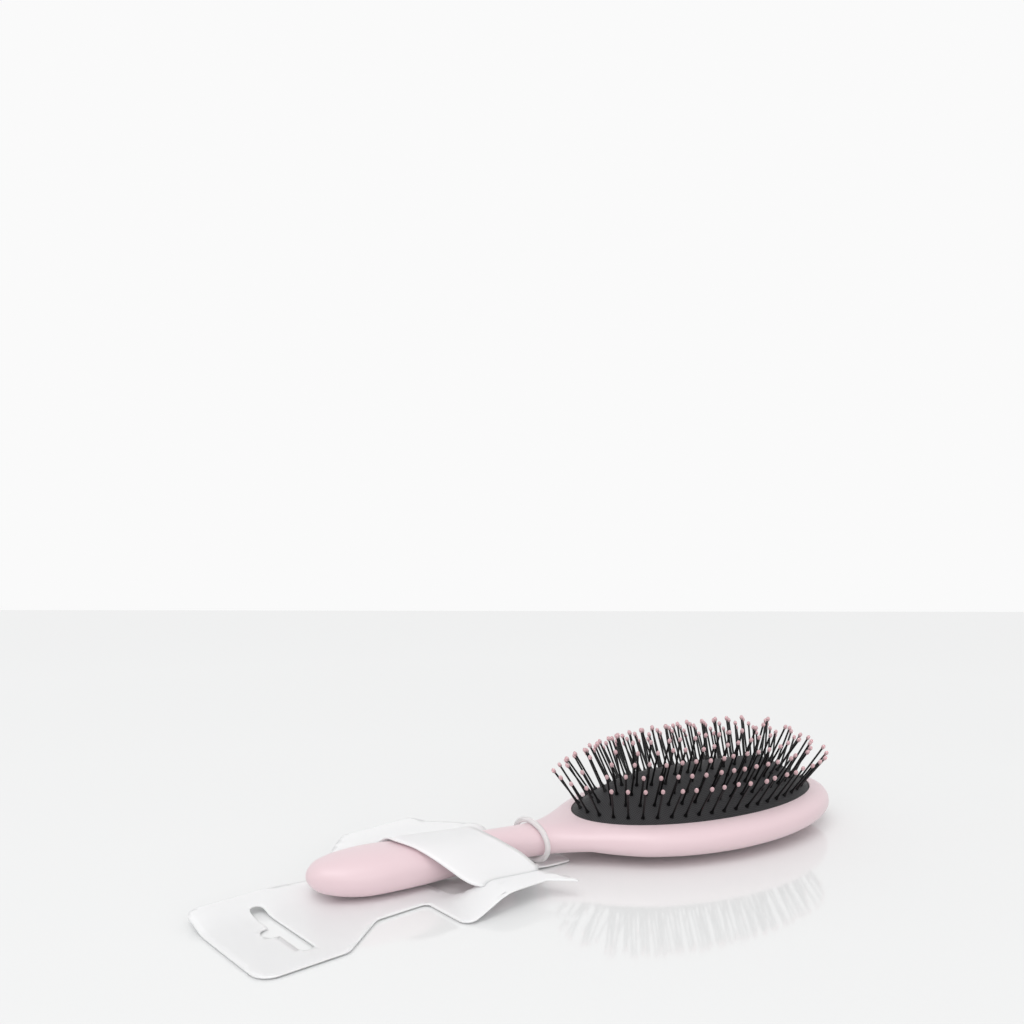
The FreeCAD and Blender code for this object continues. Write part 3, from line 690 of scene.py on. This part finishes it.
card_sheet = die_cut("hang_card", card_outline, [window_outline, slot_outline], grid=2.4)
flat_points = np.zeros(len(card_sheet.vertices) * 3)
card_sheet.vertices.foreach_get("co", flat_points)
flat_points = flat_points.reshape(-1, 3)
card_x, card_y = on_table(flat_points[:, 0], flat_points[:, 1])
card_points = np.column_stack([card_x, card_y, card_level(flat_points[:, 0], flat_points[:, 1])])
card_faces = [list(face.vertices) for face in card_sheet.polygons]
strap = strap_points(rows=48, columns=14)
strap_faces = np.array(ring_faces(*strap.shape[:2], closed=False)) + len(card_points)
card = new_piece("hang_card", np.concatenate([card_points, strap.reshape(-1, 3)]),
                 card_faces + strap_faces.tolist(), joined=1e-7)
upward = bmesh.new()
upward.from_mesh(card.data)
bmesh.ops.reverse_faces(upward, faces=[face for face in upward.faces if face.normal.z < 0])
upward.to_mesh(card.data)
upward.free()
thick = card.modifiers.new("thickness", "SOLIDIFY")
thick.thickness = CARD_THICKNESS * MM
thick.offset = 1
turned_sharp(card, degrees=35)
CARD_WHITE = (0.93, 0.93, 0.94, 1)
CARD_SHADE = (0.91, 0.91, 0.92, 1)
card_stock = Finish("coated_card", Roughness=0.38, Coat_Weight=0.15, Coat_Roughness=0.3,
                    Subsurface_Weight=0.5, Subsurface_Radius=(1, 1, 1), Subsurface_Scale=0.002)
card_stock.surface("Base Color", card_stock.mixed(card_stock.noise(scale=60.0), CARD_WHITE, CARD_SHADE))
card_stock.relief(card_stock.noise(scale=900.0), distance=0.00002, strength=0.3)
finish_with(card, card_stock.material)
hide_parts("hang_tag")
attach(card, "brush")

# Neck band: a round cord of clear milky elastic, joined end to end about the neck. It stands
# askew, and lies on the card's tongue below.
BAND_RADIUS = 0.9
BAND_HALF_SPAN = 9.65
BAND_HALF_HEIGHT = 6.0
BAND_MIDDLE = np.array([-64.3, 0.0, 8.0])
BAND_TURN = math.radians(95)


def band_points(steps, sides):
    """A round section carried along an upright oval that is turned about Z."""
    run = np.linspace(0, 2 * math.pi, steps, endpoint=False)
    flat = np.array([math.cos(BAND_TURN), math.sin(BAND_TURN), 0])
    up = np.array([0, 0, 1])
    path = BAND_HALF_SPAN * np.cos(run)[:, None] * flat + BAND_HALF_HEIGHT * np.sin(run)[:, None] * up
    outward = np.cos(run)[:, None] * flat / BAND_HALF_SPAN + np.sin(run)[:, None] * up / BAND_HALF_HEIGHT
    outward /= np.linalg.norm(outward, axis=1, keepdims=True)
    beside = np.cross(flat, up)
    turn = np.linspace(0, 2 * math.pi, sides, endpoint=False)
    section = np.cos(turn)[None, :, None] * outward[:, None, :] + np.sin(turn)[None, :, None] * beside
    return BAND_MIDDLE + path[:, None, :] + BAND_RADIUS * section


loop = band_points(steps=96, sides=16)
loop = np.concatenate([loop, loop[:1]])
band = new_piece("neck_loop", loop.reshape(-1, 3), ring_faces(*loop.shape[:2]))
elastic = Finish("milky_elastic", Base_Color=(0.95, 0.93, 0.93, 1), Transmission_Weight=0.4, IOR=1.3)
elastic.surface("Roughness", 0.28 + 0.1 * elastic.noise(scale=250.0))
finish_with(band, elastic.material)
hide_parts("neck_band")
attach(band, "brush")

# Cushion again, now that every mesh is final: it gives with its bristles. The joint's whole travel is read,
# and the share of the innermost ring's rise above the edge that it leaves is worked out; the cushion gets a
# mesh of its own.
press = next(joint for joint in frame["joints"] if joint["name"] == "cushion_press")
ring_rise = dome_height(RING_EDGE_MARGIN + (len(PINS_IN_RING) - 1) * ring_pitch) - PAD_EDGE
keep = 1 - press["range_m"][1] / MM / ring_rise
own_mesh(pad)

# Table: a glossy white top whose far edge ends in the white of the room. It is laid out along and
# across the camera's view.
CAMERA_PLACE = np.array([-234.7, -322.7, 141.4])
CAMERA_YAW = math.radians(-26.85)
CAMERA_PITCH = math.radians(4.2)
CAMERA_LENS = 40.43
TABLE_BACK = -900.0
TABLE_HALF_WIDTH = 1500.0
TABLE_EDGE_LEFT = 898.0
TABLE_EDGE_RIGHT = 864.0
view_along = np.array([-math.sin(CAMERA_YAW), math.cos(CAMERA_YAW)])
view_across = np.array([view_along[1], -view_along[0]])


def table_corner(along, across):
    """A corner this far ahead of the camera's foot and this far to its right."""
    return (*(CAMERA_PLACE[:2] + view_along * along + view_across * across) * MM, 0)


table_mesh = bpy.data.meshes.new("table")
table_mesh.from_pydata([
    table_corner(TABLE_BACK, -TABLE_HALF_WIDTH), table_corner(TABLE_BACK, TABLE_HALF_WIDTH),
    table_corner(TABLE_EDGE_RIGHT, TABLE_HALF_WIDTH), table_corner(TABLE_EDGE_LEFT, -TABLE_HALF_WIDTH)],
    [], [(0, 1, 2, 3)])
table = bpy.data.objects.new("table", table_mesh)
bpy.context.scene.collection.objects.link(table)
gloss = Finish("glossy_white", Base_Color=(0.86, 0.865, 0.865, 1), Roughness=0.08)
table_mesh.materials.append(gloss.material)

# Light: the white room itself, a wide soft box above and to the left, and a weaker one in front.
# The room is seen nearly white, and lights the brush with less than that.
ROOM_SEEN = (0.957, 0.957, 0.957, 1)
ROOM_LIGHT = 0.74
world = bpy.data.worlds.new("room")
bpy.context.scene.world = world
world.use_nodes = True
world.node_tree.nodes.clear()
room = Graph(world.node_tree)
rays = room.node("ShaderNodeLightPath")
direct = rays.out("Is Camera Ray").larger(rays.out("Is Glossy Ray")).larger(rays.out("Is Transmission Ray"))
lit = room.node("ShaderNodeBackground", None, {"Color": (1, 1, 1, 1), "Strength": ROOM_LIGHT}).out()
seen = room.node("ShaderNodeBackground", None, {"Color": ROOM_SEEN, "Strength": 1.0}).out()
both = room.node("ShaderNodeMixShader", None, {0: direct, 1: lit, 2: seen}).out()
room.node("ShaderNodeOutputWorld", None, {"Surface": both})


def soft_box(name, place, aim, size, power):
    """A square area lamp at a place, turned to face its aim."""
    lamp = bpy.data.lights.new(name, "AREA")
    lamp.size = size
    lamp.energy = power
    holder = bpy.data.objects.new(name, lamp)
    bpy.context.scene.collection.objects.link(holder)
    holder.location = place
    away = np.array(place) - np.array(aim)
    flat = math.hypot(away[0], away[1])
    holder.rotation_euler = (math.atan2(flat, away[2]), 0, math.atan2(away[1], away[0]) + math.pi / 2)


soft_box("key", place=(-0.95, -0.9, 1.9), aim=(-0.04, 0, 0), size=1.6, power=19.0)
soft_box("fill", place=(-0.2, -2.2, 0.44), aim=(-0.05, 0, 0), size=1.2, power=5.6)

# Camera: the viewer stands a little above the table, in front of the brush and to the left of its
# head, and looks down at it slightly.
camera = bpy.data.cameras.new("camera")
camera.lens = CAMERA_LENS
camera.sensor_width = 36
camera.clip_start = 0.01
viewer = bpy.data.objects.new("camera", camera)
bpy.context.scene.collection.objects.link(viewer)
viewer.location = tuple(CAMERA_PLACE * MM)
viewer.rotation_euler = (math.pi / 2 - CAMERA_PITCH, 0, CAMERA_YAW)
bpy.context.scene.camera = viewer
bpy.context.scene.view_settings.view_transform = "Standard"
